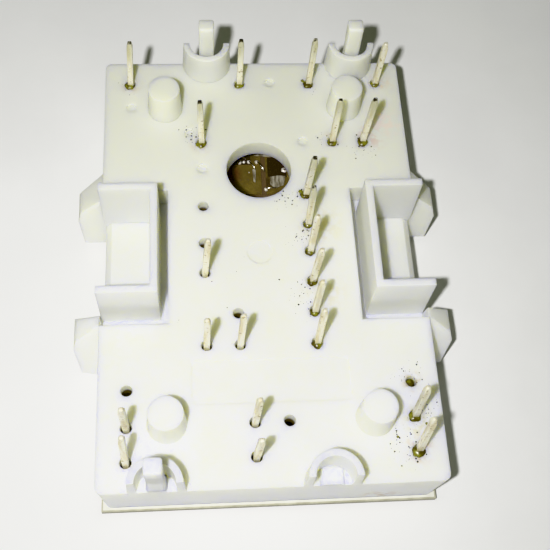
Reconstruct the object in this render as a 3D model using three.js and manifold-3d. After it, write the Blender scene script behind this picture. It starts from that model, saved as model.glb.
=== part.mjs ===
// Three-phase power semiconductor module with a moulded housing and solder pins.
//
// Units are millimetres. +Z is up, away from the heatsink. The origin lies in the middle of the
// heatsink face, X runs across the module and Y along it.
import * as THREE from 'three';
import { mergeVertices } from 'three/addons/utils/BufferGeometryUtils.js';
import { ConvexGeometry } from 'three/addons/geometries/ConvexGeometry.js';
import Module from 'manifold-3d';

const wasm = await Module();
wasm.setup();

// ---------------------------------------------------------------- driving dimensions

const WIDTH = 48;
const LENGTH = 70.4;
const TOP = 11.8; // height of the housing's top face
const BOARD_SEAT = 17; // height of the stand-offs that carry the circuit board
const RIM_TOP = 18; // height of the clamp pockets' walls
const PIN_TIP = 22.4;
const CORNER_R = 1;
const HALF_W = WIDTH / 2;
const HALF_L = LENGTH / 2;
const SINK = 0.3; // how deep each added feature is rooted in the housing

const WALL = 2;
const ROOF = 3.3;
const CAVITY_TOP = TOP - ROOF;
const DRAFT = 0.45; // how far the outer walls lean in towards the bottom

// Bonded stack under the housing: copper, ceramic, copper tracks, chips.
const COPPER = 0.3;
const CERAMIC = 1;
const CHIP = 0.2;
const CERAMIC_TOP = COPPER + CERAMIC;
const TRACK_TOP = CERAMIC_TOP + COPPER;
const CERAMIC_HALF = { x: HALF_W + 0.1, y: HALF_L + 0.1 };
const HEATSINK_HALF = { x: CERAMIC_HALF.x - 0.6, y: CERAMIC_HALF.y - 0.6 };
const HOUSING_BOTTOM = CERAMIC_TOP;
const GEL = { bottom: TRACK_TOP + 0.5, top: 5.2, gap: 0.3 };

// Clamp pockets in the two long sides: a notch in the top, with a U-shaped wall standing in it.
const NOTCH = { inner: 14.1, halfLength: 11.1, floor: TOP - 4, skin: 2 };
const POCKET = { inner: 15.4, halfLength: 8.8, wall: 1.1, chamfer: 1.2 };

// Screw guides: a pair of lugs on each long side.
// Corners of one lug: distance out from the body's side, distance along it, height.
const LUG_CORNERS = [
  [-1, 9.6, TOP], [-1, 11.3, TOP], [0, 9.6, TOP], [0, 10.9, TOP],
  [3.5, 8.9, TOP - 2.8], [3.6, 12.4, TOP - 2.9],
  [4, 8.2, TOP - 4.2], [4, 13.2, TOP - 4.2],
  [3.7, 7.8, HOUSING_BOTTOM], [3.5, 14.3, HOUSING_BOTTOM],
  [-1, 7.8, HOUSING_BOTTOM], [-1, 15, HOUSING_BOTTOM], [1.4, 14.4, HOUSING_BOTTOM],
];
// The far pair also carry a web that sweeps back into the body's side.
const FAR_LUG_WEB = [[0, 14.6, TOP - 0.6], [1, 13.9, TOP - 1.2]];

const STANDOFF = { x: 14.4, far: 26.3, near: -26, topR: 2.42, baseR: 2.75, sides: 40 };
const COLLAR = { innerR: 2.7, outerR: 3.65, baseR: 3.9, sides: 48 };
const LATCH = {
  width: 2.35, depth: 2, stub: 0.6, gap: 0.3, height: 10.6,
  barb: 0.25, barbStart: 7.1, tipBevel: 0.3, cornerR: 0.6,
};
const LATCH_SITES = [
  { name: 'latch_far_left', x: -7.6, end: 1 },
  { name: 'latch_far_right', x: 15.8, end: 1 },
  { name: 'latch_near_left', x: -15.8, end: -1 },
];
const BROKEN_LATCH = { x: 7.7, end: -1, stub: 0.2 };

const FILL_HOLE = { x: 0.1, y: 14.6, r: 5.05, sides: 64 };
const PIN_HOLE = { r: 0.82, sides: 20 };
const PIN = { half: 0.45, tipHalf: 0.27, taper: 1.1, footX: 1, footY: 0.75, footHeight: 0.3 };
const PLAQUE = { x: 0.3, y: -20.1, halfX: 11.2, halfY: 3.2, r: 0.8, depth: 0.15 };
const EJECTOR_MARK = { x: -0.4, y: 0.2, r: 1.9, depth: 0.15, sides: 32 };

// Where each pin leaves the top face, and how far its tip leans from there (dx, dy).
const COLUMN = { left: -19.95, midLeft: -8.7, inner: -3.9, centre: -2.3, signal: 7.2, right: 20.1 };
const ROW = { far: 31.15, upper: 19.85, first: -14.6, near: -26.1, last: -30.9 };
const SIGNAL_PITCH = 4.93;
const signalRow = (index) => ROW.first + 0.1 + index * SIGNAL_PITCH;
const PINS = [
  { x: COLUMN.left, y: ROW.far, dx: 0.6, dy: -0.2 },
  { x: COLUMN.centre, y: ROW.far, dx: 0, dy: 0.2 },
  { x: 9.05, y: ROW.far, dx: 0.2, dy: 0.3 },
  { x: COLUMN.right, y: ROW.far, dx: 0.1, dy: -0.5 },
  { x: COLUMN.midLeft, y: ROW.upper, dx: -0.2, dy: 0.1 },
  { x: 12.1, y: ROW.upper, dx: 0.1, dy: 0.2 },
  { x: 17, y: ROW.upper, dx: 0.5, dy: 0.3 },
  { x: COLUMN.signal, y: signalRow(5), dx: 0.4, dy: -0.2 },
  { x: COLUMN.signal, y: signalRow(4) - 0.3, dx: -0.1, dy: 0.1 },
  { x: COLUMN.signal, y: signalRow(3), dx: 0.1, dy: 0 },
  { x: COLUMN.signal, y: signalRow(2), dx: 0.3, dy: -0.4 },
  { x: COLUMN.signal, y: signalRow(1), dx: 0, dy: -0.3 },
  { x: COLUMN.signal, y: signalRow(0), dx: 0, dy: 0.4 },
  { x: COLUMN.midLeft, y: -3.1, dx: 0.5, dy: -0.1 },
  { x: COLUMN.midLeft, y: ROW.first, dx: 0.1, dy: -0.5 },
  { x: COLUMN.inner, y: ROW.first, dx: 0.2, dy: 0 },
  { x: COLUMN.left, y: ROW.near - 0.2, dx: 0.2, dy: -0.7 },
  { x: COLUMN.left, y: ROW.last - 0.2, dx: 0.3, dy: 0.5 },
  { x: COLUMN.centre, y: ROW.near, dx: 0.2, dy: -0.2 },
  { x: COLUMN.centre, y: ROW.last, dx: 0.2, dy: -0.7 },
  { x: COLUMN.right, y: ROW.near + 0.3, dx: -0.3, dy: 0.4 },
  { x: COLUMN.right, y: ROW.last + 0.2, dx: 0, dy: 1.1 },
];
const EMPTY_PIN_HOLES = [
  { x: COLUMN.left, y: -21 },
  { x: COLUMN.right, y: -20.9 },
  { x: 2.5, y: -26 },
  { x: -4, y: -9.7 },
  { x: COLUMN.midLeft, y: 1.85 },
  { x: COLUMN.midLeft, y: 8.2 },
];
const BLIND_DIMPLE = { r: 0.75, depth: 0.4, sides: 20 };
const BLIND_DIMPLES = [
  { x: COLUMN.midLeft, y: 14.9 },
  { x: -19.8, y: 26.5 },
  { x: 2.6, y: 31.3 },
  { x: 7.3, y: 19.8 },
  { x: -10.6, y: 21.6 },
];

// Copper tracks on the ceramic, each an outline of corner points.
const TRACK_EDGE = { x: HALF_W - WALL - 0.6, y: HALF_L - WALL - 0.6 };
const rectangle = (x0, x1, y0, y1) => [[x0, y0], [x1, y0], [x1, y1], [x0, y1]];
const TRACKS = {
  track_rectifier_plus: rectangle(-TRACK_EDGE.x, -11.6, 16.2, TRACK_EDGE.y),
  track_rectifier_minus: rectangle(-10.8, 1.2, 16.2, TRACK_EDGE.y),
  track_brake: rectangle(2, 10.4, 16.2, TRACK_EDGE.y),
  track_dc_plus: [
    [9.4, -16.4], [TRACK_EDGE.x, -16.4], [TRACK_EDGE.x, TRACK_EDGE.y],
    [11.2, TRACK_EDGE.y], [11.2, 15.4], [9.4, 15.4],
  ],
  track_signal: rectangle(5.8, 8.6, -16.4, 11.6),
  track_phase_u: rectangle(-TRACK_EDGE.x, -7.4, -5.6, 15.4),
  track_phase_v: rectangle(-6.6, 5, -5.6, 15.4),
  track_phase_w: rectangle(-TRACK_EDGE.x, 5, -16.4, -6.4),
  track_dc_minus: rectangle(-TRACK_EDGE.x, 11.6, -TRACK_EDGE.y, -17.2),
  track_thermistor: rectangle(12.4, TRACK_EDGE.x, -TRACK_EDGE.y, -17.2),
};

// Chips: half sizes and centres.
const CHIP_SIZE = {
  rectifier: { x: 1.7, y: 1.7 },
  igbt: { x: 1.6, y: 1.9 },
  diode: { x: 1.3, y: 1.3 },
};
const CHIPS = [
  { name: 'rectifier_diode_1', kind: 'rectifier', x: -16.5, y: 28.4 },
  { name: 'rectifier_diode_2', kind: 'rectifier', x: -16.5, y: 23.6 },
  { name: 'rectifier_diode_3', kind: 'rectifier', x: -16.5, y: 18.8 },
  { name: 'rectifier_diode_4', kind: 'rectifier', x: -6.9, y: 28 },
  { name: 'rectifier_diode_5', kind: 'rectifier', x: -6.9, y: 23.6 },
  { name: 'rectifier_diode_6', kind: 'rectifier', x: -2.2, y: 23.6 },
  { name: 'brake_igbt', kind: 'igbt', x: 3.9, y: 21.3 },
  { name: 'brake_diode', kind: 'diode', x: 15.6, y: 26.8 },
  { name: 'inverter_igbt_1', kind: 'igbt', x: 12.4, y: 10.8 },
  { name: 'inverter_igbt_2', kind: 'igbt', x: 12.4, y: 1.4 },
  { name: 'inverter_igbt_3', kind: 'igbt', x: 12.4, y: -8 },
  { name: 'inverter_diode_1', kind: 'diode', x: 17.4, y: 10.8 },
  { name: 'inverter_diode_2', kind: 'diode', x: 17.4, y: 1.4 },
  { name: 'inverter_diode_3', kind: 'diode', x: 17.4, y: -8 },
  { name: 'inverter_igbt_4', kind: 'igbt', x: -15.4, y: 9.6 },
  { name: 'inverter_diode_4', kind: 'diode', x: -15.4, y: 3.6 },
  { name: 'inverter_igbt_5', kind: 'igbt', x: 2.9, y: 11.6 },
  { name: 'inverter_diode_5', kind: 'diode', x: -1.4, y: 6.4 },
  { name: 'inverter_igbt_6', kind: 'igbt', x: -15.4, y: -11 },
  { name: 'inverter_diode_6', kind: 'diode', x: 1, y: -11 },
];
const THERMISTOR = { x: 15, y: -24, halfX: 0.8, halfY: 0.45, height: 0.45 };

// ---------------------------------------------------------------- materials

const material = (color, roughness, metalness = 0) => (
  new THREE.MeshStandardMaterial({ color, roughness, metalness })
);
const WHITE_PLASTIC = material(0xe9ebe2, 0.5);
const PIN_METAL = material(0xcfc28a, 0.35, 1);
const COPPER_METAL = material(0xb8793f, 0.4, 1);
const CERAMIC_WHITE = material(0xf2efe6, 0.6);
const SILICON = material(0x6d6f76, 0.3, 0.8);
const GEL_CLEAR = material(0xd9c58a, 0.1);
const THERMISTOR_BODY = material(0x3a3530, 0.6);

// ---------------------------------------------------------------- solids and geometry

function toSolid(geometry) {
  const bare = geometry.index ? geometry.clone() : geometry;
  bare.deleteAttribute('normal');
  bare.deleteAttribute('uv');
  const merged = mergeVertices(bare, 1e-5);
  const vertProperties = new Float32Array(merged.attributes.position.array);
  const triVerts = new Uint32Array(merged.index.array);
  return new wasm.Manifold(new wasm.Mesh({ numProp: 3, vertProperties, triVerts }));
}

function toGeometry(solid) {
  const mesh = solid.getMesh();
  const geometry = new THREE.BufferGeometry();
  geometry.setAttribute('position', new THREE.BufferAttribute(mesh.vertProperties, 3));
  geometry.setIndex(new THREE.BufferAttribute(mesh.triVerts, 1));
  return geometry;
}

const joinAll = (solids) => solids.reduce((whole, solid) => whole.add(solid));

function block(x0, x1, y0, y1, z0, z1) {
  const geometry = new THREE.BoxGeometry(x1 - x0, y1 - y0, z1 - z0);
  return geometry.translate((x0 + x1) / 2, (y0 + y1) / 2, (z0 + z1) / 2);
}

// An upright cone or cylinder from z0 (radius r0) to z1 (radius r1).
function upright(x, y, r0, r1, z0, z1, sides) {
  const geometry = new THREE.CylinderGeometry(r1, r0, z1 - z0, sides);
  return geometry.rotateX(Math.PI / 2).translate(x, y, (z0 + z1) / 2);
}

function prism(points, z0, z1) {
  const shape = new THREE.Shape(points.map(([x, y]) => new THREE.Vector2(x, y)));
  const geometry = new THREE.ExtrudeGeometry(shape, { depth: z1 - z0, bevelEnabled: false });
  return geometry.translate(0, 0, z0);
}

function roundedShape(x, y, halfX, halfY, r) {
  const shape = new THREE.Shape();
  shape.absarc(x + halfX - r, y + halfY - r, r, 0, Math.PI / 2);
  shape.absarc(x - halfX + r, y + halfY - r, r, Math.PI / 2, Math.PI);
  shape.absarc(x - halfX + r, y - halfY + r, r, Math.PI, 1.5 * Math.PI);
  shape.absarc(x + halfX - r, y - halfY + r, r, 1.5 * Math.PI, 2 * Math.PI);
  return shape;
}

function roundedPrism(x, y, halfX, halfY, r, z0, z1) {
  const options = { depth: z1 - z0, bevelEnabled: false, curveSegments: 6 };
  return new THREE.ExtrudeGeometry(roundedShape(x, y, halfX, halfY, r), options).translate(0, 0, z0);
}

// A closed bar through square sections of half width h, centred at x, y, z.
function squareBar(sections) {
  const corners = [[-1, -1], [1, -1], [1, 1], [-1, 1]];
  const positions = [];
  for (const { x, y, z, h } of sections) {
    for (const [sx, sy] of corners) positions.push(x + sx * h, y + sy * h, z);
  }
  const index = [0, 2, 1, 0, 3, 2];
  for (let level = 0; level < sections.length - 1; level += 1) {
    for (let side = 0; side < 4; side += 1) {
      const a = level * 4 + side;
      const b = level * 4 + ((side + 1) % 4);
      index.push(a, b, b + 4, a, b + 4, a + 4);
    }
  }
  const last = (sections.length - 1) * 4;
  index.push(last, last + 1, last + 2, last, last + 2, last + 3);
  const geometry = new THREE.BufferGeometry();
  geometry.setAttribute('position', new THREE.Float32BufferAttribute(positions, 3));
  geometry.setIndex(index);
  return geometry;
}

// ---------------------------------------------------------------- housing

// Points round a rectangle with rounded corners, at height z.
function roundedOutline(halfX, halfY, r, z) {
  const shape = roundedShape(0, 0, halfX, halfY, r);
  return shape.getPoints(6).map((point) => new THREE.Vector3(point.x, point.y, z));
}

function shell() {
  const upper = roundedOutline(HALF_W, HALF_L, CORNER_R, TOP);
  const lower = roundedOutline(HALF_W - DRAFT, HALF_L - DRAFT, CORNER_R, HOUSING_BOTTOM);
  const outside = toSolid(new ConvexGeometry([...upper, ...lower]));
  const inX = HALF_W - WALL;
  const inY = HALF_L - WALL;
  const skinX = NOTCH.inner - NOTCH.skin;
  const skinY = NOTCH.halfLength + NOTCH.skin;
  const underNotch = NOTCH.floor - NOTCH.skin;
  const notchBlocks = [-1, 1].map((side) => {
    const x0 = Math.min(side * skinX, side * HALF_W);
    return toSolid(block(x0, x0 + HALF_W - skinX, -skinY, skinY, underNotch, TOP));
  });
  const cavity = toSolid(block(-inX, inX, -inY, inY, 0, CAVITY_TOP)).subtract(joinAll(notchBlocks));
  return outside.subtract(cavity);
}

// The notch cut from the top beside one long edge; side is -1 or 1.
function notch(side) {
  const { inner, halfLength, floor } = NOTCH;
  const x0 = side > 0 ? inner : -HALF_W;
  return toSolid(block(x0, x0 + HALF_W - inner, -halfLength, halfLength, floor, TOP + 1));
}

// The U-shaped wall of one clamp pocket, open to the outside.
function pocketWall(side) {
  const { inner, halfLength, wall } = POCKET;
  const outline = [
    [HALF_W, -halfLength], [HALF_W, -halfLength + wall], [inner + wall, -halfLength + wall],
    [inner + wall, halfLength - wall], [HALF_W, halfLength - wall], [HALF_W, halfLength],
    [inner, halfLength], [inner, -halfLength],
  ];
  const mirrored = outline.map(([x, y]) => [side * x, y]);
  return toSolid(prism(side > 0 ? mirrored : mirrored.reverse(), NOTCH.floor - SINK, RIM_TOP));
}

// The sloping edge at the mouth of one pocket's floor.
function mouthChamfer(side) {
  const { chamfer, halfLength, wall } = POCKET;
  const length = 2 * (halfLength - wall);
  const shape = new THREE.Shape([
    new THREE.Vector2(HALF_W - chamfer, 0),
    new THREE.Vector2(HALF_W + 1, -chamfer - 1),
    new THREE.Vector2(HALF_W + 1, 1),
    new THREE.Vector2(HALF_W - chamfer, 1),
  ]);
  const geometry = new THREE.ExtrudeGeometry(shape, { depth: length, bevelEnabled: false });
  geometry.rotateX(Math.PI / 2).translate(0, length / 2, NOTCH.floor);
  if (side < 0) geometry.rotateZ(Math.PI);
  return toSolid(geometry);
}

// One screw guide; sx and sy choose the long side and the end.
function lug(sx, sy) {
  const corners = sy > 0 ? [...LUG_CORNERS, ...FAR_LUG_WEB] : LUG_CORNERS;
  const points = corners.map(([out, along, z]) => (
    new THREE.Vector3(sx * (HALF_W + out), sy * along, z)
  ));
  return toSolid(new ConvexGeometry(points));
}

function standoff(sx, sy) {
  const { x, far, near, topR, baseR, sides } = STANDOFF;
  const y = sy > 0 ? far : near;
  const root = toSolid(upright(sx * x, y, topR, topR, TOP - SINK, TOP + SINK, sides));
  return root.add(toSolid(upright(sx * x, y, baseR, topR, TOP, BOARD_SEAT, sides)));
}

// The half-round guard wall behind a latch, cut off flush with the end face.
function collar({ x, end }) {
  const { innerR, outerR, baseR, sides } = COLLAR;
  const height = BOARD_SEAT - TOP;
  const profile = [
    [innerR, -SINK], [baseR, -SINK], [baseR, 0], [outerR, height], [innerR, height], [innerR, -SINK],
  ];
  const ring = new THREE.LatheGeometry(profile.map(([r, z]) => new THREE.Vector2(r, z)), sides);
  ring.rotateX(Math.PI / 2).translate(x, end * HALF_L, TOP);
  const y0 = end > 0 ? HALF_L - 2 * baseR : -HALF_L;
  const keep = block(x - 2 * baseR, x + 2 * baseR, y0, y0 + 2 * baseR, TOP - SINK, BOARD_SEAT);
  return toSolid(ring).intersect(toSolid(keep));
}

function latchStub({ x, end }, height) {
  const outer = end * HALF_L;
  const inner = end * (HALF_L - LATCH.depth);
  const half = LATCH.width / 2;
  const y0 = Math.min(outer, inner);
  return toSolid(block(x - half, x + half, y0, y0 + LATCH.depth, TOP - SINK, TOP + height));
}

function housing() {
  const sides = [-1, 1];
  const corners = sides.flatMap((sx) => sides.map((sy) => [sx, sy]));
  const sites = [...LATCH_SITES, BROKEN_LATCH];
  let body = shell();
  body = joinAll([body, ...corners.map(([sx, sy]) => lug(sx, sy))]);
  body = body.subtract(joinAll(sides.map(notch)));
  body = joinAll([body, ...sides.map(pocketWall)]);
  body = body.subtract(joinAll(sides.map(mouthChamfer)));
  body = joinAll([body, ...corners.map(([sx, sy]) => standoff(sx, sy)), ...sites.map(collar)]);
  body = joinAll([body, ...LATCH_SITES.map((site) => latchStub(site, LATCH.stub))]);
  body = body.add(latchStub(BROKEN_LATCH, BROKEN_LATCH.stub));

  const under = CAVITY_TOP - 1;
  const over = TOP + 1;
  const fill = upright(FILL_HOLE.x, FILL_HOLE.y, FILL_HOLE.r, FILL_HOLE.r, under, over, FILL_HOLE.sides);
  const holes = [...PINS, ...EMPTY_PIN_HOLES].map(({ x, y }) => (
    toSolid(upright(x, y, PIN_HOLE.r, PIN_HOLE.r, under, over, PIN_HOLE.sides))
  ));
  const sink = ({ x, y }, { r, depth, sides: count }) => (
    toSolid(upright(x, y, r, r, TOP - depth, over, count))
  );
  const dimples = BLIND_DIMPLES.map((spot) => sink(spot, BLIND_DIMPLE));
  const mark = sink(EJECTOR_MARK, EJECTOR_MARK);
  const plaque = roundedPrism(
    PLAQUE.x, PLAQUE.y, PLAQUE.halfX, PLAQUE.halfY, PLAQUE.r, TOP - PLAQUE.depth, over,
  );
  const cuts = joinAll([toSolid(fill), ...holes, ...dimples, mark, toSolid(plaque)]);
  return toGeometry(body.subtract(cuts));
}

// ---------------------------------------------------------------- latches and pins

// A springy post that hooks over the board's edge; its side profile meets its rounded plan.
function latch({ x, end }) {
  const { width, depth, stub, gap, height, barb, barbStart, tipBevel, cornerR: r } = LATCH;
  const half = width / 2;
  const foot = TOP + stub + gap;
  const tip = TOP + height;
  const hook = TOP + barbStart;
  const side = new THREE.Shape([
    [0, foot], [depth, foot], [depth, hook], [depth + barb, hook], [depth + barb, tip - tipBevel],
    [depth + barb - tipBevel, tip], [tipBevel, tip], [0, tip - tipBevel],
  ].map(([out, z]) => new THREE.Vector2(out, z)));
  const profile = new THREE.ExtrudeGeometry(side, { depth: width, bevelEnabled: false });
  profile.rotateX(Math.PI / 2).rotateZ(Math.PI / 2).translate(-half, 0, 0);

  const plan = new THREE.Shape();
  const outer = depth + barb;
  plan.moveTo(-half, -1);
  plan.lineTo(half, -1);
  plan.lineTo(half, outer - r);
  plan.absarc(half - r, outer - r, r, 0, Math.PI / 2);
  plan.absarc(-half + r, outer - r, r, Math.PI / 2, Math.PI);
  const round = new THREE.ExtrudeGeometry(plan, { depth: tip, bevelEnabled: false, curveSegments: 5 });

  const solid = toSolid(profile).intersect(toSolid(round));
  const geometry = toGeometry(solid).translate(0, HALF_L - depth, 0);
  if (end < 0) geometry.rotateZ(Math.PI);
  return geometry.translate(x, 0, 0);
}

function pin({ x, y, dx, dy }) {
  const { half, tipHalf, taper, footX, footY, footHeight } = PIN;
  const lean = (z) => (z - TOP) / (PIN_TIP - TOP);
  const shoulder = PIN_TIP - taper;
  const bar = squareBar([
    { x, y, z: TRACK_TOP, h: half },
    { x, y, z: TOP, h: half },
    { x: x + dx * lean(shoulder), y: y + dy * lean(shoulder), z: shoulder, h: half },
    { x: x + dx, y: y + dy, z: PIN_TIP, h: tipHalf },
  ]);
  const foot = block(x - footX, x + footX, y - footY, y + footY, TRACK_TOP, TRACK_TOP + footHeight);
  return toGeometry(toSolid(bar).add(toSolid(foot)));
}

// ---------------------------------------------------------------- inner pieces

function plate(half, z0, z1) {
  return block(-half.x, half.x, -half.y, half.y, z0, z1);
}

function chip({ kind, x, y }) {
  const size = CHIP_SIZE[kind];
  return block(x - size.x, x + size.x, y - size.y, y + size.y, TRACK_TOP, TRACK_TOP + CHIP);
}

function thermistor() {
  const { x, y, halfX, halfY, height } = THERMISTOR;
  return block(x - halfX, x + halfX, y - halfY, y + halfY, TRACK_TOP, TRACK_TOP + height);
}

function pottingGel() {
  const half = { x: HALF_W - WALL - GEL.gap, y: HALF_L - WALL - GEL.gap };
  const body = toSolid(plate(half, GEL.bottom, GEL.top));
  const r = PIN.half * Math.SQRT2 + GEL.gap;
  const holes = PINS.map(({ x, y }) => (
    toSolid(upright(x, y, r, r, GEL.bottom - 1, GEL.top + 1, 12))
  ));
  return toGeometry(body.subtract(joinAll(holes)));
}

// ---------------------------------------------------------------- assembly

const group = new THREE.Group();

function place(name, geometry, look) {
  const mesh = new THREE.Mesh(geometry, look);
  mesh.name = name;
  group.add(mesh);
}

place('housing', housing(), WHITE_PLASTIC);
for (const site of LATCH_SITES) place(site.name, latch(site), WHITE_PLASTIC);
place('heatsink_copper', plate(HEATSINK_HALF, 0, COPPER), COPPER_METAL);
place('ceramic_substrate', plate(CERAMIC_HALF, COPPER, CERAMIC_TOP), CERAMIC_WHITE);
for (const [name, outline] of Object.entries(TRACKS)) {
  place(name, prism(outline, CERAMIC_TOP, TRACK_TOP), COPPER_METAL);
}
for (const entry of CHIPS) place(entry.name, chip(entry), SILICON);
place('thermistor', thermistor(), THERMISTOR_BODY);
place('potting_gel', pottingGel(), GEL_CLEAR);
PINS.forEach((entry, index) => {
  place(`pin_${String(index + 1).padStart(2, '0')}`, pin(entry), PIN_METAL);
});

export default group;
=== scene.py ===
import math
import random

import bmesh
import bpy
from mathutils import Euler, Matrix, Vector, noise


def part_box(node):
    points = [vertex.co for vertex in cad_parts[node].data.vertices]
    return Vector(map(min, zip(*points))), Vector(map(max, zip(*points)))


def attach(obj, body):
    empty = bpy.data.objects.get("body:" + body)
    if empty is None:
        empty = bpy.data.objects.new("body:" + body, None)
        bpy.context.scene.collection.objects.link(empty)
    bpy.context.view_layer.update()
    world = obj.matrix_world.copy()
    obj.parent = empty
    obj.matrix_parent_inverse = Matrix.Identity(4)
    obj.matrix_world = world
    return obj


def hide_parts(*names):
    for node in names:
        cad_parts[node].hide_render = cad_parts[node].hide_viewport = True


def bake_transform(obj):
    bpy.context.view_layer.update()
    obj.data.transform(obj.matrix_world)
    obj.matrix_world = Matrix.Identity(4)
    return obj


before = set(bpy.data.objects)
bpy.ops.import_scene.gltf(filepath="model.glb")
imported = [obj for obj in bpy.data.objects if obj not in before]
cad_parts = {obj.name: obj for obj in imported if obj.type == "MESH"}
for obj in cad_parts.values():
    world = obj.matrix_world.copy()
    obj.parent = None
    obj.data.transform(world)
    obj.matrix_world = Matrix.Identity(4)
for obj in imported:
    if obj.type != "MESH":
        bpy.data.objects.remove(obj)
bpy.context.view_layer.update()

# ------------------------------------------------------------------ driving dimensions

MM = 0.001
TOP = 11.8 * MM  # the housing's top face
TRACK_TOP = 1.6 * MM  # the copper tracks that pins and chips stand on
PIN_END = 22.4 * MM
END_FACE = 35.2 * MM  # distance of the housing's end faces from the middle
BASE_EDGE = Vector((24.1, 35.3)) * MM  # half size of the ceramic plate
FILL_HOLE = Vector((0.1, 14.6, 10)) * MM
HOUSING = "housing_assembly"
LATCHES = ["latch_far_left", "latch_far_right", "latch_near_left"]
PINS = sorted(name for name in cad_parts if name.startswith("pin_"))
BURNT_PINS = [f"pin_{number:02d}" for number in (1, 2, 3, 5, 6, 7, 8, 9)]
TRACKS = sorted(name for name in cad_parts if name.startswith("track_"))
CHIPS = sorted(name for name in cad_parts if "diode" in name or "igbt" in name)

EDGE_ROUNDING = 0.3 * MM
PIN_ROUNDING = 0.1 * MM
WELD_DISTANCE = 0.001 * MM
FLAT_ANGLE = math.radians(0.5)  # faces that meet at less than this are one flat face
SHARP_ANGLE = math.radians(30)  # edges sharper than this are rounded

CAMERA_PLACE = Vector((-9.5, -63.8, 137.4)) * MM
CAMERA_TURN = (25.71, -3.57, -3.13)  # degrees about x, y and z
CAMERA_LENS = 61.73
CAMERA_SENSOR = 36

LAMP_PLACE = Vector((-31, -74, 158)) * MM
LAMP_AIM = Vector((0, 160, 0)) * MM
LAMP_SIZE = 7 * MM
LAMP_POWER = 0.36
LAMP_COLOUR = (1.0, 0.99, 0.985)
SKY_STRENGTH = 0.125
SKY_COLOUR = (0.93, 1.0, 0.7)

TABLE_HALF = 0.6  # half the side of the table top, in metres


# ------------------------------------------------------------------ material helpers


class Finish:
    """A material with its node tree, and short ways of adding nodes to it."""

    def __init__(self, name, roughness=0.5, metallic=0.0):
        self.material = bpy.data.materials.new(name)
        self.material.use_nodes = True
        self.nodes = self.material.node_tree.nodes
        self.shader = self.nodes["Principled BSDF"]
        self.shader.inputs["Roughness"].default_value = roughness
        self.shader.inputs["Metallic"].default_value = metallic
        self.place = self.add("ShaderNodeTexCoord").outputs["Object"]

    def add(self, kind, **settings):
        node = self.nodes.new(kind)
        for key, value in settings.items():
            setattr(node, key, value)
        return node

    def link(self, source, target):
        self.material.node_tree.links.new(source, target)

    def noise(self, scale, detail=3, stretch=(1, 1, 1)):
        """Noise with features about 1 / scale metres wide."""
        mapping = self.add("ShaderNodeMapping")
        mapping.inputs["Scale"].default_value = stretch
        self.link(self.place, mapping.inputs["Vector"])
        texture = self.add("ShaderNodeTexNoise")
        texture.inputs["Scale"].default_value = scale
        texture.inputs["Detail"].default_value = detail
        self.link(mapping.outputs["Vector"], texture.inputs["Vector"])
        return texture.outputs["Fac"]

    def band(self, value, low, high, out_low=0.0, out_high=1.0):
        """value mapped from low..high to out_low..out_high, smoothly and clamped."""
        node = self.add("ShaderNodeMapRange", interpolation_type="SMOOTHSTEP")
        node.inputs["From Min"].default_value = low
        node.inputs["From Max"].default_value = high
        node.inputs["To Min"].default_value = out_low
        node.inputs["To Max"].default_value = out_high
        self.link(value, node.inputs["Value"])
        return node.outputs["Result"]

    def math(self, operation, a, b=0):
        """The result of a math node, where a and b are numbers or sockets."""
        node = self.add("ShaderNodeMath", operation=operation)
        for socket, value in zip(node.inputs, (a, b)):
            if isinstance(value, (int, float)):
                socket.default_value = value
            else:
                self.link(value, socket)
        return node.outputs["Value"]

    def along(self, axis):
        """The shaded point's coordinate along axis "X", "Y" or "Z"."""
        axes = self.add("ShaderNodeSeparateXYZ")
        self.link(self.place, axes.inputs["Vector"])
        return axes.outputs[axis]

    def from_middle(self, axis):
        """The shaded point's distance along axis from the middle, on either side."""
        return self.math("ABSOLUTE", self.along(axis))

    def distance(self, point):
        """Distance of the shaded point from point."""
        node = self.add("ShaderNodeVectorMath", operation="DISTANCE")
        node.inputs[1].default_value = point
        self.link(self.place, node.inputs[0])
        return node.outputs["Value"]

    def spot(self, centre, inner, outer, strength):
        """strength within inner of centre, falling to 0 at outer."""
        return self.band(self.distance(centre), inner, outer, strength, 0)

    def mix(self, factor, a, b):
        """Colour a where factor is 0, b where it is 1."""
        node = self.add("ShaderNodeMix", data_type="RGBA")
        self.link(factor, node.inputs["Factor"])
        # The node has sockets of every type: inputs 6 and 7 and output 2 are the colours.
        for socket, value in zip(node.inputs[6:8], (a, b)):
            if isinstance(value, tuple):
                socket.default_value = (*value, 1)
            else:
                self.link(value, socket)
        return node.outputs[2]

    def colour(self, value):
        self.link(value, self.shader.inputs["Base Color"])

    def rough(self, value):
        self.link(value, self.shader.inputs["Roughness"])

    def bump(self, value, distance, strength=1.0):
        """Relief that rises by distance where value goes from 0 to 1."""
        node = self.add("ShaderNodeBump")
        node.inputs["Distance"].default_value = distance
        node.inputs["Strength"].default_value = strength
        self.link(value, node.inputs["Height"])
        self.link(node.outputs["Normal"], self.shader.inputs["Normal"])


def give(obj, finish):
    """Makes finish the object's only material."""
    obj.data.materials.clear()
    obj.data.materials.append(finish.material)


# ------------------------------------------------------------------ materials

PALE = (0.90, 0.905, 0.87)
WARM = (0.88, 0.885, 0.83)
# Painted shade: the plastic turns darker and yellower towards the far end.
PAINTED_FAR_SHADE = (0.76, 0.77, 0.685)
# Painted shade deep in the pin holes.
BORE_SHADE = (0.20, 0.15, 0.05)
FAR_SHADE_FROM = -30 * MM  # along Y, painted shade towards the far end starts here
FAR_SHADE_TO = 34 * MM  # and is full here
STAIN_STRENGTH = 0.8

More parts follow.
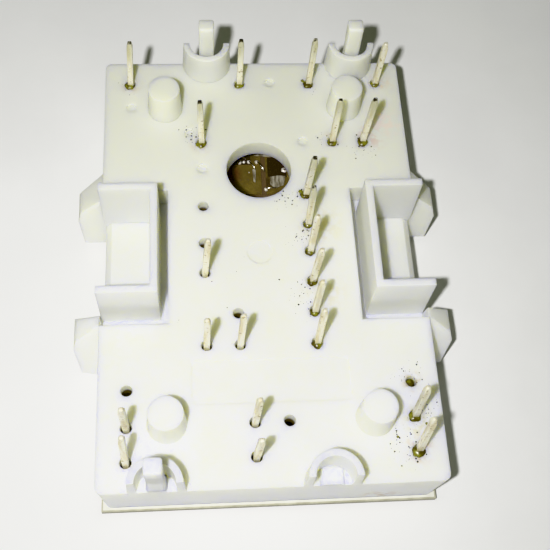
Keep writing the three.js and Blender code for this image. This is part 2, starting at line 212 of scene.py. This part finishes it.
# Flux stains on the top face: middle and reach in millimetres, and colour.
TOP_STAINS = [
    ((18.2, 20.4), 3.6, (0.72, 0.57, 0.48)),
    ((12.2, 20.2), 2.2, (0.66, 0.56, 0.36)),
    ((21.0, 23.5), 4.5, (0.85, 0.74, 0.66)),
    ((21.0, 31.0), 3.0, (0.78, 0.66, 0.50)),
    ((8.8, 4.5), 5.0, (0.78, 0.74, 0.54)),
    ((8.6, -6.5), 5.0, (0.78, 0.75, 0.56)),
    ((20.2, -21.0), 2.2, (0.62, 0.46, 0.20)),
    ((20.3, -26.6), 3.0, (0.72, 0.66, 0.30)),
    ((20.0, -30.6), 3.0, (0.74, 0.56, 0.40)),
    ((-8.8, 19.4), 2.4, (0.70, 0.60, 0.42)),
    ((-19.9, 30.8), 2.2, (0.70, 0.60, 0.40)),
]
END_STAIN = ((15.5, -34.9, 3.0), 4.0, (0.66, 0.52, 0.40))  # low on the near end face
STAINS = [((*middle, TOP / MM), reach, tint) for middle, reach, tint in TOP_STAINS] + [END_STAIN]

# The pin holes lie within the field, but not over the clamp pockets or the fill hole.
HOLE_FIELD_X = 22 * MM
HOLE_FIELD_Y = 33.5 * MM
POCKET_FROM_X = 13.5 * MM
POCKET_TO_Y = 11.8 * MM
FILL_HOLE_CLEARANCE = 6.5 * MM
# The painted shade in the pin holes fades in between these two levels.
BORE_SHADE_FROM = TOP - 1.4 * MM
BORE_SHADE_FULL = TOP - 2.3 * MM


def inside_bores(finish):
    """Mask for painted shade: 1 deep in the pin holes, 0 elsewhere on the outside of the housing."""
    x = finish.from_middle("X")
    y = finish.from_middle("Y")
    within_x = finish.math("LESS_THAN", x, HOLE_FIELD_X)
    within_y = finish.math("LESS_THAN", y, HOLE_FIELD_Y)
    within = finish.math("MULTIPLY", within_x, within_y)
    pocket_x = finish.math("GREATER_THAN", x, POCKET_FROM_X)
    pocket_y = finish.math("LESS_THAN", y, POCKET_TO_Y)
    pocket = finish.math("MULTIPLY", pocket_x, pocket_y)
    fill = finish.math("LESS_THAN", finish.distance(FILL_HOLE), FILL_HOLE_CLEARANCE)
    open_part = finish.math("MAXIMUM", pocket, fill)
    low = finish.band(finish.along("Z"), BORE_SHADE_FULL, BORE_SHADE_FROM, 1, 0)
    return finish.math("MULTIPLY", finish.math("GREATER_THAN", within, open_part), low)


def translucent_plastic(name, stains=()):
    """White moulded plastic that lets a little warm light through, with shade painted in towards the far
    end and, where stains are given, deep in the pin holes.
    """
    finish = Finish(name)
    tone = finish.mix(finish.band(finish.noise(140), 0.35, 0.7), PALE, WARM)
    # Painted shade: darker and yellower towards the far end.
    tone = finish.mix(finish.band(finish.along("Y"), FAR_SHADE_FROM, FAR_SHADE_TO), tone, PAINTED_FAR_SHADE)
    patchy = finish.band(finish.noise(900, 4), 0.4, 0.66)
    for middle, reach, tint in stains:
        near = finish.spot(Vector(middle) * MM, 0, reach * MM, STAIN_STRENGTH)
        tone = finish.mix(finish.math("MULTIPLY", near, patchy), tone, tint)
    # Painted shade deep in the pin holes, on the housing only.
    if stains:
        tone = finish.mix(inside_bores(finish), tone, BORE_SHADE)
    finish.colour(tone)
    shader = finish.shader.inputs
    shader["Subsurface Weight"].default_value = 0.85
    shader["Subsurface Radius"].default_value = (1.0, 0.98, 0.42)
    shader["Subsurface Scale"].default_value = 3.8 * MM
    shader["Specular IOR Level"].default_value = 0.4
    finish.rough(finish.band(finish.noise(1800, 2), 0.3, 0.7, 0.36, 0.5))
    finish.bump(finish.noise(5200, 2), 0.012 * MM, 0.6)
    return finish


def pin_metal(name, burnt_end):
    """Dull tin over brass; some ends are burnt where they were once soldered."""
    tin, brass = (0.92, 0.90, 0.78), (0.80, 0.74, 0.52)
    flux_film = (0.38, 0.30, 0.10)
    heated, burnt = (0.50, 0.50, 0.32), (0.04, 0.035, 0.02)
    finish = Finish(name, metallic=0.45)
    streak = finish.noise(1500, 3, (1, 1, 0.12))
    tone = finish.mix(finish.band(streak, 0.4, 0.66), tin, brass)
    residue = finish.band(finish.noise(1700, 3), 0.58, 0.7, 0, 0.7)
    tone = finish.mix(residue, tone, flux_film)
    if burnt_end:
        dull = finish.band(finish.along("Z"), PIN_END - 6.4 * MM, PIN_END - 0.4 * MM, 0, 0.6)
        tone = finish.mix(dull, tone, heated)
        ragged = finish.math("MULTIPLY", finish.noise(1600), 1.4 * MM)
        level = finish.math("ADD", finish.along("Z"), ragged)
        black = finish.band(level, PIN_END + 0.4 * MM, PIN_END + 0.7 * MM)
        tone = finish.mix(black, tone, burnt)
    finish.colour(tone)
    finish.rough(finish.band(streak, 0.3, 0.7, 0.36, 0.55))
    finish.bump(finish.noise(3800, 3), 0.02 * MM)
    return finish


HEATED_SPOT = Vector((-4.8, 20.2, 1.6)) * MM  # on the copper under the fill hole
SOOTY_SPOT = Vector((2.2, 18.4, 1.6)) * MM


def bare_copper():
    """Copper under the gel: khaki gold, and maroon where it was heated."""
    gold, brown = (0.34, 0.27, 0.09), (0.22, 0.17, 0.06)
    maroon, soot = (0.20, 0.05, 0.04), (0.06, 0.035, 0.02)
    finish = Finish("tarnished_copper", metallic=0.7)
    cloud = finish.noise(420, 4)
    tone = finish.mix(finish.band(cloud, 0.35, 0.65), gold, brown)
    tone = finish.mix(finish.spot(HEATED_SPOT, 1.2 * MM, 3.4 * MM, 0.92), tone, maroon)
    finish.colour(finish.mix(finish.spot(SOOTY_SPOT, 0.5 * MM, 1.3 * MM, 0.85), tone, soot))
    finish.rough(finish.band(finish.noise(2500), 0.3, 0.7, 0.35, 0.6))
    finish.bump(finish.noise(3000, 3), 0.02 * MM)
    return finish


def clean_copper():
    """The rolled copper face that meets the heatsink."""
    light, dark = (0.78, 0.42, 0.27), (0.62, 0.30, 0.18)
    finish = Finish("rolled_copper", metallic=1.0)
    grain = finish.noise(900, 3, (0.05, 1, 1))
    finish.colour(finish.mix(finish.band(grain, 0.3, 0.7), light, dark))
    finish.rough(finish.band(grain, 0.3, 0.7, 0.25, 0.42))
    finish.bump(grain, 0.01 * MM)
    return finish


DARK_CERAMIC = Vector((0.4, 18.5, 1.3)) * MM  # middle of the stain under the fill hole


def ceramic():
    """White ceramic, its edge sealed in grey-olive with painted shade along its foot, stained dark under
    the fill hole.
    """
    white, grey = (0.80, 0.80, 0.74), (0.72, 0.72, 0.66)
    stained = (0.10, 0.06, 0.025)
    sealant_light, sealant_dark = (0.50, 0.49, 0.38), (0.36, 0.35, 0.25)
    painted_foot_shade = (0.09, 0.08, 0.05)
    finish = Finish("white_ceramic", roughness=0.55)
    cloud = finish.band(finish.noise(600, 5), 0.3, 0.7)
    tone = finish.mix(cloud, white, grey)
    tone = finish.mix(finish.spot(DARK_CERAMIC, 5.5 * MM, 8 * MM, 0.96), tone, stained)
    sealant = finish.mix(cloud, sealant_light, sealant_dark)
    # Painted shade: the sealed edge turns near black along its foot, where it meets the copper.
    above_painted_shade = finish.band(finish.along("Z"), 0.45 * MM, 0.75 * MM)
    sealant = finish.mix(above_painted_shade, painted_foot_shade, sealant)
    for axis, half in zip("XY", BASE_EDGE):
        rim = finish.band(finish.from_middle(axis), half - 0.3 * MM, half - 0.15 * MM)
        tone = finish.mix(rim, tone, sealant)
    finish.colour(tone)
    finish.bump(finish.noise(9000, 2), 0.004 * MM)
    return finish


def silicon():
    """A chip's metallised top, with the fine grid of its cells."""
    violet, pale_violet = (0.008, 0.002, 0.009), (0.02, 0.008, 0.022)
    finish = Finish("metallised_silicon", metallic=0.8)
    cells = finish.add("ShaderNodeTexWave", wave_type="BANDS", bands_direction="DIAGONAL")
    cells.inputs["Scale"].default_value = 900
    cells.inputs["Distortion"].default_value = 0.6
    finish.link(finish.place, cells.inputs["Vector"])
    finish.colour(finish.mix(cells.outputs["Fac"], violet, pale_violet))
    finish.rough(finish.band(finish.noise(1500), 0.3, 0.7, 0.18, 0.4))
    return finish


def clear_gel():
    """Clear silicone, a little amber, with a soft uneven surface."""
    light_amber, amber = (0.42, 0.34, 0.18), (0.28, 0.21, 0.10)
    finish = Finish("potting_gel", roughness=0.05)
    finish.colour(finish.mix(finish.noise(200), light_amber, amber))
    shader = finish.shader.inputs
    shader["Alpha"].default_value = 0.06
    shader["IOR"].default_value = 1.6
    finish.bump(finish.noise(260, 2), 0.35 * MM)
    return finish


def bond_aluminium():
    """Bright drawn wire."""
    bright, dull = (0.90, 0.89, 0.86), (0.70, 0.68, 0.64)
    finish = Finish("bond_wire_aluminium", roughness=0.22, metallic=1.0)
    finish.colour(finish.mix(finish.noise(3000), bright, dull))
    return finish


def solder():
    """Pale lumpy solder, painted near white to stand in for its glints."""
    # Painted highlight: near white so the dots show as glints.
    bright, dull = (1.0, 0.98, 0.92), (0.80, 0.76, 0.66)
    finish = Finish("solder_with_painted_glints", roughness=0.3, metallic=0.2)
    finish.colour(finish.mix(finish.band(finish.noise(1200), 0.4, 0.6), bright, dull))
    finish.bump(finish.noise(2200, 3), 0.05 * MM)
    return finish


def lead_and_painted_reflection():
    """Dull streaked grey metal, which also colours the sheets of painted highlight and reflection."""
    light, dark = (0.62, 0.60, 0.50), (0.18, 0.16, 0.11)
    finish = Finish("lead_and_painted_reflection", roughness=0.45, metallic=0.3)
    streak = finish.band(finish.noise(1500, 4, (1, 0.3, 1)), 0.38, 0.62)
    finish.colour(finish.mix(streak, light, dark))
    finish.bump(finish.noise(1800, 3), 0.08 * MM)
    return finish


def flux():
    """Hardened flux, glossy, from golden green to dark amber."""
    golden_green, dark_amber = (0.20, 0.20, 0.03), (0.07, 0.055, 0.01)
    finish = Finish("amber_flux", roughness=0.3)
    finish.colour(finish.mix(finish.band(finish.noise(1300), 0.4, 0.6), golden_green, dark_amber))
    finish.shader.inputs["Coat Weight"].default_value = 0.2
    finish.bump(finish.noise(2800, 3), 0.05 * MM)
    return finish


def char():
    """Burnt flux."""
    black, brown = (0.012, 0.01, 0.006), (0.06, 0.045, 0.02)
    finish = Finish("burnt_crumb", roughness=0.7)
    finish.colour(finish.mix(finish.noise(2500), black, brown))
    finish.bump(finish.noise(6000), 0.03 * MM)
    return finish


def thermistor_body():
    """Dark speckled ceramic."""
    dark, light = (0.05, 0.04, 0.03), (0.14, 0.11, 0.09)
    finish = Finish("thermistor_body", roughness=0.5)
    finish.colour(finish.mix(finish.noise(1800), dark, light))
    finish.bump(finish.noise(4000), 0.02 * MM)
    return finish


def table_paper():
    """Matt paper, almost white."""
    white, off_white = (0.91, 0.91, 0.925), (0.88, 0.88, 0.895)
    finish = Finish("pale_table", roughness=0.75)
    finish.colour(finish.mix(finish.band(finish.noise(60), 0.3, 0.7), white, off_white))
    finish.bump(finish.noise(1500), 0.01 * MM)
    return finish


# ------------------------------------------------------------------ mesh helpers


def on_level(x, y, level):
    """The point at x and y, in millimetres, on a level in metres."""
    return Vector((x * MM, y * MM, level))


def mesh_piece(name, bm, finish, body=HOUSING, smooth=True):
    """Turns bm into a named object with a finish, which rides on body if one is given."""
    mesh = bpy.data.meshes.new(name)
    bmesh.ops.recalc_face_normals(bm, faces=bm.faces)
    bm.to_mesh(mesh)
    bm.free()
    for polygon in mesh.polygons:
        polygon.use_smooth = smooth
    obj = bpy.data.objects.new(name, mesh)
    bpy.context.collection.objects.link(obj)
    give(obj, finish)
    if body:
        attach(obj, body)
    return obj


def ring_loft(bm, rings):
    """Joins rings with equal numbers of points into a skin, closed at both ends."""
    made = [[bm.verts.new(point) for point in ring] for ring in rings]
    for low, high in zip(made, made[1:]):
        count = len(low)
        for i in range(count):
            bm.faces.new((low[i], low[(i + 1) % count], high[(i + 1) % count], high[i]))
    bm.faces.new(list(reversed(made[0])))
    bm.faces.new(made[-1])


def round_edges(obj, width, segments=3):
    """Rounds a CAD node's sharp edges without touching its own mesh."""
    for polygon in obj.data.polygons:
        polygon.use_smooth = True
    weld = obj.modifiers.new("weld", "WELD")
    weld.merge_threshold = WELD_DISTANCE
    flat = obj.modifiers.new("flat_faces", "DECIMATE")
    flat.decimate_type = "DISSOLVE"
    flat.angle_limit = FLAT_ANGLE
    bevel = obj.modifiers.new("rounding", "BEVEL")
    bevel.width = width
    bevel.segments = segments
    bevel.limit_method = "ANGLE"
    bevel.angle_limit = SHARP_ANGLE
    shading = obj.modifiers.new("flat_shading", "WEIGHTED_NORMAL")
    shading.weight = 100  # the largest faces set the normals


# ------------------------------------------------------------------ latches

LATCH_DEPTH = 2 * MM
LATCH_POINTS = 28  # points round one section
LATCH_SQUARENESS = 0.32  # 1 would make the sections ellipses, 0 rectangles
# Each section in millimetres: height above the top face, half width, and how far its inner and outer
# faces lie outwards of the post's inner face.
LATCH_SECTIONS = [
    (-0.3, 1.45, -0.35, 1.9),
    (0.02, 1.45, -0.35, 1.95),
    (0.2, 1.33, -0.12, 1.98),
    (0.5, 1.24, -0.02, 2.0),
    (0.9, 1.2, 0, 2.0),
    (1.3, 1.2, 0, 2.0),
    (4, 1.2, 0, 2.0),
    (7.0, 1.2, 0, 2.0),
    (7.12, 1.2, 0, 2.22),
    (8.9, 1.2, 0, 2.25),
    (10.2, 1.2, 0, 2.25),
    (10.42, 1.18, 0.04, 2.22),
    (10.56, 1.1, 0.14, 2.12),
    (10.6, 0.95, 0.3, 1.98),
    (10.6, 0.5, 0.7, 1.5),
]


def latch_ring(x, end, height, half, inner, outer):
    """One section of a latch at x, a rounded rectangle. end is 1 at the far end, -1 at the near end."""
    middle = (inner + outer) / 2
    reach = (outer - inner) / 2
    ring = []
    for i in range(LATCH_POINTS):
        turn = 2 * math.pi * i / LATCH_POINTS
        c, s = math.cos(turn), math.sin(turn)
        across = half * math.copysign(abs(c) ** LATCH_SQUARENESS, c)
        out = middle + reach * math.copysign(abs(s) ** LATCH_SQUARENESS, s)
        y = end * (END_FACE - LATCH_DEPTH + out * MM)
        ring.append(Vector((x + end * across * MM, y, TOP + height * MM)))
    return ring


def make_latch(name, finish):
    """One skin for a latch's post and hook, which bends over the first millimetre above its root."""
    low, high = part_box(name)
    x = (low.x + high.x) / 2
    end = 1 if low.y > 0 else -1
    bm = bmesh.new()
    ring_loft(bm, [latch_ring(x, end, *section) for section in LATCH_SECTIONS])
    piece = mesh_piece(name + "_skin", bm, finish, body=None)
    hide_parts(name)
    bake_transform(piece)


STUMP_MIDDLE = Vector((7.7 * MM, 1.3 * MM - END_FACE, TOP))
STUMP_HALF = Vector((1.7, 1.29)) * MM
STUMP_HEIGHT = 0.36 * MM
STUMP_UNEVENNESS = 0.04 * MM
STUMP_SUNK = 0.05 * MM


def make_broken_latch(finish):
    """The worn stump of the fourth latch, a low smooth swelling."""
    bm = bmesh.new()
    bmesh.ops.create_grid(bm, x_segments=24, y_segments=20, size=1)
    for vert in bm.verts:
        across, along = vert.co.x, vert.co.y
        fall = (1 - across ** 6) * (1 - max(0, along) ** 4)
        uneven = noise.noise(Vector((across * 2, along * 2, 4.1)))
        height = STUMP_HEIGHT * fall + STUMP_UNEVENNESS * uneven - STUMP_SUNK
        vert.co = STUMP_MIDDLE + Vector((across * STUMP_HALF.x, along * STUMP_HALF.y, height))
    piece = mesh_piece("broken_latch_stump", bm, finish)


# ------------------------------------------------------------------ residue on the pins and the top face

RESIDUE_LEVELS = 5
RESIDUE_POINTS = 20
RESIDUE_LUMPINESS = 0.28
RESIDUE_LUMP_COUNT = 1.4  # more makes more and smaller lumps round the rim
RESIDUE_CROWN = 0.97  # 1 would close the dome to a point


def make_residue(name, centre, radius, height, finish, seed):
    """A lumpy low dome of flux or solder round a point. Each seed gives other lumps."""
    bm = bmesh.new()
    rings = []
    for level in range(RESIDUE_LEVELS + 1):
        lift = level / RESIDUE_LEVELS
        dome = radius * math.sqrt(1 - (RESIDUE_CROWN * lift) ** 2)
        ring = []
        for i in range(RESIDUE_POINTS):
            turn = 2 * math.pi * i / RESIDUE_POINTS
            c, s = math.cos(turn), math.sin(turn)
            lump = noise.noise(Vector((c * RESIDUE_LUMP_COUNT, s * RESIDUE_LUMP_COUNT, seed)))
            reach = dome * (1 + RESIDUE_LUMPINESS * lump)
            ring.append(centre + Vector((reach * c, reach * s, height * lift)))
        rings.append(ring)
    ring_loft(bm, rings)
    mesh_piece(name, bm, finish)


def foot_of(pin):
    """The middle of a pin's foot on its track. The pin is upright from there to the top face."""
    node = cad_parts[pin]
    low = [vert.co for vert in node.data.vertices if vert.co.z < TRACK_TOP + 0.01 * MM]
    return sum(low, Vector()) / len(low)


FLUX_LEAN = Vector((-0.12, -0.3, 0)) * MM  # the flux ran towards the near left of each pin
FLUX_HEIGHT = 0.6 * MM
FLUX_SUNK = 0.2 * MM
# Radius of the flux round each pin, in millimetres.
FLUXED_PINS = {
    "pin_01": 0.85, "pin_02": 0.82, "pin_03": 0.85, "pin_04": 0.7, "pin_05": 0.82, "pin_06": 0.84,
    "pin_07": 0.95, "pin_08": 0.8, "pin_09": 0.7, "pin_10": 0.75, "pin_11": 0.8, "pin_12": 0.76,
    "pin_13": 0.85, "pin_21": 0.95, "pin_22": 0.95,
}


def make_pin_flux(finish):
    """A collar of flux where each fluxed pin leaves its hole."""
    for index, (pin, radius) in enumerate(FLUXED_PINS.items()):
        foot = foot_of(pin)
        centre = Vector((foot.x, foot.y, TOP - FLUX_SUNK)) + FLUX_LEAN
        make_residue(pin + "_flux", centre, radius * MM, FLUX_HEIGHT, finish, seed=index * 3.7)


DROP_SUNK = 0.03 * MM
# Loose drops of flux: middle, radius and height in millimetres.
FLUX_DROPS = [
    ((8.1, 31.6), 0.28, 0.2),
    ((6.35, 10.5), 0.32, 0.16),
    ((6.6, 9.6), 0.2, 0.12),
    ((19.9, -21.1), 0.55, 0.08),
    ((17.25, -28.85), 0.2, 0.12),
    ((21.55, -27.15), 0.22, 0.12),
    ((19.3, -31.5), 0.25, 0.12),
]


def make_flux_drops(finish):
    """Drops of flux on the top face."""
    for index, ((x, y), radius, height) in enumerate(FLUX_DROPS):
        centre = on_level(x, y, TOP - DROP_SUNK)
        name = f"flux_drop_{index + 1}"
        make_residue(name, centre, radius * MM, height * MM, finish, seed=index * 1.9)


# Radii in millimetres. Most crumbs are near the smallest.
SMALLEST_CRUMB = 0.04
CRUMB_GROWTH = 0.12
CRUMB_FLATNESS = 0.6
CRUMB_ROUGHNESS = 0.35
CRUMB_SEED = 7
# Crumb clusters: middle and spread in millimetres, how many.
CRUMBS = [
    ((4.3, 9.2), 2.0, 26),
    ((6.4, 10.2), 1.0, 14),
    ((6.0, 2.5), 2.6, 30),
    ((6.0, -8.0), 2.8, 26),
    ((-9.9, 21.0), 2.2, 30),
    ((-20.6, 30.4), 1.4, 8),
    ((16.6, 19.0), 3.0, 34),
    ((10.8, 20.3), 1.4, 10),
    ((20.0, -20.0), 2.4, 34),
    ((21.4, -26.0), 2.4, 28),
    ((17.2, -28.6), 2.0, 22),
    ((18.6, -31.4), 2.8, 34),
    ((-12.8, -10.7), 0.4, 3),
    ((9.0, 30.5), 1.4, 10),
    ((-8.0, -8.0), 9.0, 8),
    ((5.0, -6.0), 2.2, 16),
]


def make_crumbs(finish):
    """Burnt flux crumbs scattered on the top face."""
    rng = random.Random(CRUMB_SEED)
    bm = bmesh.new()
    for (x, y), spread, count in CRUMBS:
        for _ in range(count):
            size = SMALLEST_CRUMB + CRUMB_GROWTH * rng.random() ** 3
            place = on_level(rng.gauss(x, spread / 2), rng.gauss(y, spread / 2), TOP)
            made = bmesh.ops.create_icosphere(bm, subdivisions=1, radius=size * MM)
            for vert in made["verts"]:
                vert.co *= 1 + CRUMB_ROUGHNESS * (rng.random() - 0.5)
                vert.co.z *= CRUMB_FLATNESS
                vert.co += place
    mesh_piece("flux_crumbs", bm, finish)


# ------------------------------------------------------------------ what shows through the fill hole

WIRE_RADIUS = 0.12 * MM
WIRE_STEPS = 18
WIRE_FULLNESS = 0.8  # 1 makes the arch a plain sine, less makes it fuller


def make_wire(name, start, end, loop, finish):
    """A bond wire that arches from start to end."""
    curve = bpy.data.curves.new(name, "CURVE")
    curve.dimensions = "3D"
    curve.bevel_depth = WIRE_RADIUS
    curve.bevel_resolution = 3
    curve.use_fill_caps = True
    spline = curve.splines.new("POLY")
    spline.points.add(WIRE_STEPS)
    for i in range(WIRE_STEPS + 1):
        t = i / WIRE_STEPS
        point = start.lerp(end, t)
        point.z += loop * math.sin(math.pi * t) ** WIRE_FULLNESS
        spline.points[i].co = (*point, 1)
    obj = bpy.data.objects.new(name, curve)
    bpy.context.collection.objects.link(obj)
    give(obj, finish)
    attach(obj, HOUSING)


BOND_LEVEL = TRACK_TOP + 0.28 * MM
# Pairs of landing points on the tracks and chips, in millimetres, and the loop's height.
BONDS = [
    ((-1.3, 22.9), (-6.2, 24.0), 1.2),
    ((-0.9, 22.5), (0.2, 20.9), 0.35),
    ((0.5, 22.4), (1.75, 20.4), 0.5),
    ((1.75, 16.95), (3.6, 17.1), 0.3),
    ((4.9, 21.9), (8.6, 21.6), 1.2),
    ((5.0, 20.6), (8.6, 19.9), 1.2),
]


def make_bonds(finish):
    """The bond wires seen through the fill hole."""
    for index, (start, end, loop) in enumerate(BONDS):
        start_point = on_level(*start, BOND_LEVEL)
        end_point = on_level(*end, BOND_LEVEL)
        make_wire(f"bond_wire_{index + 1}", start_point, end_point, loop * MM, finish)


SOLDER_LEVEL = TRACK_TOP + 0.15 * MM
# Solder dots at chip level: middle, radius and height in millimetres.
SOLDER_DOTS = [
    ((-2.35, 22.3), 0.42, 0.5),
    ((-1.6, 22.35), 0.26, 0.3),
    ((-0.8, 22.3), 0.36, 0.4),
    ((0.55, 22.3), 0.36, 0.4),
    ((-0.82, 20.3), 0.13, 0.15),
    ((1.85, 16.95), 0.34, 0.35),
    ((5.1, 20.7), 0.5, 0.3),
]


def make_solder_dots(finish):
    """The bright dots seen through the fill hole: solder, painted near white for the glints."""
    for index, ((x, y), radius, height) in enumerate(SOLDER_DOTS):
        centre = on_level(x, y, SOLDER_LEVEL)
        name = f"solder_glint_dot_{index + 1}"
        make_residue(name, centre, radius * MM, height * MM, finish, seed=index * 2.3)


STRIP_LEVEL = TRACK_TOP + 0.3 * MM
STRIP_THICKNESS = 0.15 * MM
# Flat pieces over the chips, as corner points in millimetres: a lead strip, and two pale sheets that paint
# a highlight and a reflection in the gel.
STRIPS = {
    "brake_lead_strip": [(2.65, 19.25), (2.6, 17.85), (3.4, 17.05), (4.85, 17.6), (5.3, 19.4), (4.0, 19.5)],
    # A pale sheet that paints a highlight in the gel.
    "painted_highlight_strip": [(-0.25, 20.7), (-0.15, 18.4), (0.2, 18.2), (0.3, 20.6), (0.05, 20.9)],
    # A pale sheet that paints the far wall's reflection in the gel.
    "painted_reflection_sheet": [(0.1, 23.5), (3.0, 23.2), (2.9, 23.7), (0.5, 23.9)],
}


def make_strips(finish):
    """The flat lead strip, and the pale sheets that paint a highlight and a reflection, seen through the
    fill hole.
    """
    for name, corners in STRIPS.items():
        levels = (STRIP_LEVEL, STRIP_LEVEL + STRIP_THICKNESS)
        rings = [[on_level(x, y, level) for x, y in corners] for level in levels]
        bm = bmesh.new()
        ring_loft(bm, rings)
        mesh_piece(name, bm, finish, smooth=False)


# ------------------------------------------------------------------ scene


def make_floor(finish):
    """The table top that the module lies on."""
    bm = bmesh.new()
    bmesh.ops.create_grid(bm, x_segments=40, y_segments=40, size=TABLE_HALF)
    floor = mesh_piece("table_top", bm, finish, body=None)


def make_light():
    """A small lamp beside the camera, and an even pale sky."""
    lamp = bpy.data.lights.new("lamp", "AREA")
    lamp.shape = "DISK"
    lamp.size = LAMP_SIZE
    lamp.energy = LAMP_POWER
    lamp.color = LAMP_COLOUR
    holder = bpy.data.objects.new("lamp", lamp)
    holder.location = LAMP_PLACE
    holder.rotation_mode = "QUATERNION"
    holder.rotation_quaternion = (LAMP_AIM - LAMP_PLACE).to_track_quat("-Z", "Y")
    bpy.context.collection.objects.link(holder)

    world = bpy.data.worlds.new("studio")
    world.use_nodes = True
    sky = world.node_tree.nodes["Background"]
    sky.inputs["Color"].default_value = (*SKY_COLOUR, 1)
    sky.inputs["Strength"].default_value = SKY_STRENGTH
    bpy.context.scene.world = world
    bpy.context.scene.view_settings.view_transform = "Khronos PBR Neutral"


def make_camera():
    """The camera, which sees the module as the photo does."""
    camera = bpy.data.cameras.new("camera")
    camera.lens = CAMERA_LENS
    camera.sensor_width = CAMERA_SENSOR
    camera.clip_start = 0.01
    holder = bpy.data.objects.new("camera", camera)
    holder.location = CAMERA_PLACE
    holder.rotation_euler = Euler([math.radians(angle) for angle in CAMERA_TURN])
    bpy.context.collection.objects.link(holder)
    bpy.context.scene.camera = holder


def dress_nodes():
    """Gives the CAD nodes their finishes, all but the latches, and rounds the housing and the pins."""
    finishes = {
        "housing": translucent_plastic("housing_plastic", STAINS),
        "heatsink_copper": clean_copper(),
        "ceramic_substrate": ceramic(),
        "potting_gel": clear_gel(),
        "thermistor": thermistor_body(),
    }
    groups = [
        (BURNT_PINS, pin_metal("burnt_tip_pin", True)),
        ([pin for pin in PINS if pin not in BURNT_PINS], pin_metal("clean_tip_pin", False)),
        (TRACKS, bare_copper()),
        (CHIPS, silicon()),
    ]
    for names, finish in groups:
        finishes.update({name: finish for name in names})
    for name, finish in finishes.items():
        give(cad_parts[name], finish)
    round_edges(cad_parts["housing"], EDGE_ROUNDING)
    for pin in PINS:
        round_edges(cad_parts[pin], PIN_ROUNDING, 2)


make_camera()
make_light()
make_floor(table_paper())
dress_nodes()

latch_plastic = translucent_plastic("latch_plastic")
for latch in LATCHES:
    make_latch(latch, latch_plastic)
    give(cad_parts[latch], latch_plastic)
make_broken_latch(latch_plastic)
amber = flux()
make_pin_flux(amber)
make_flux_drops(amber)
make_crumbs(char())
make_bonds(bond_aluminium())
make_solder_dots(solder())
make_strips(lead_and_painted_reflection())
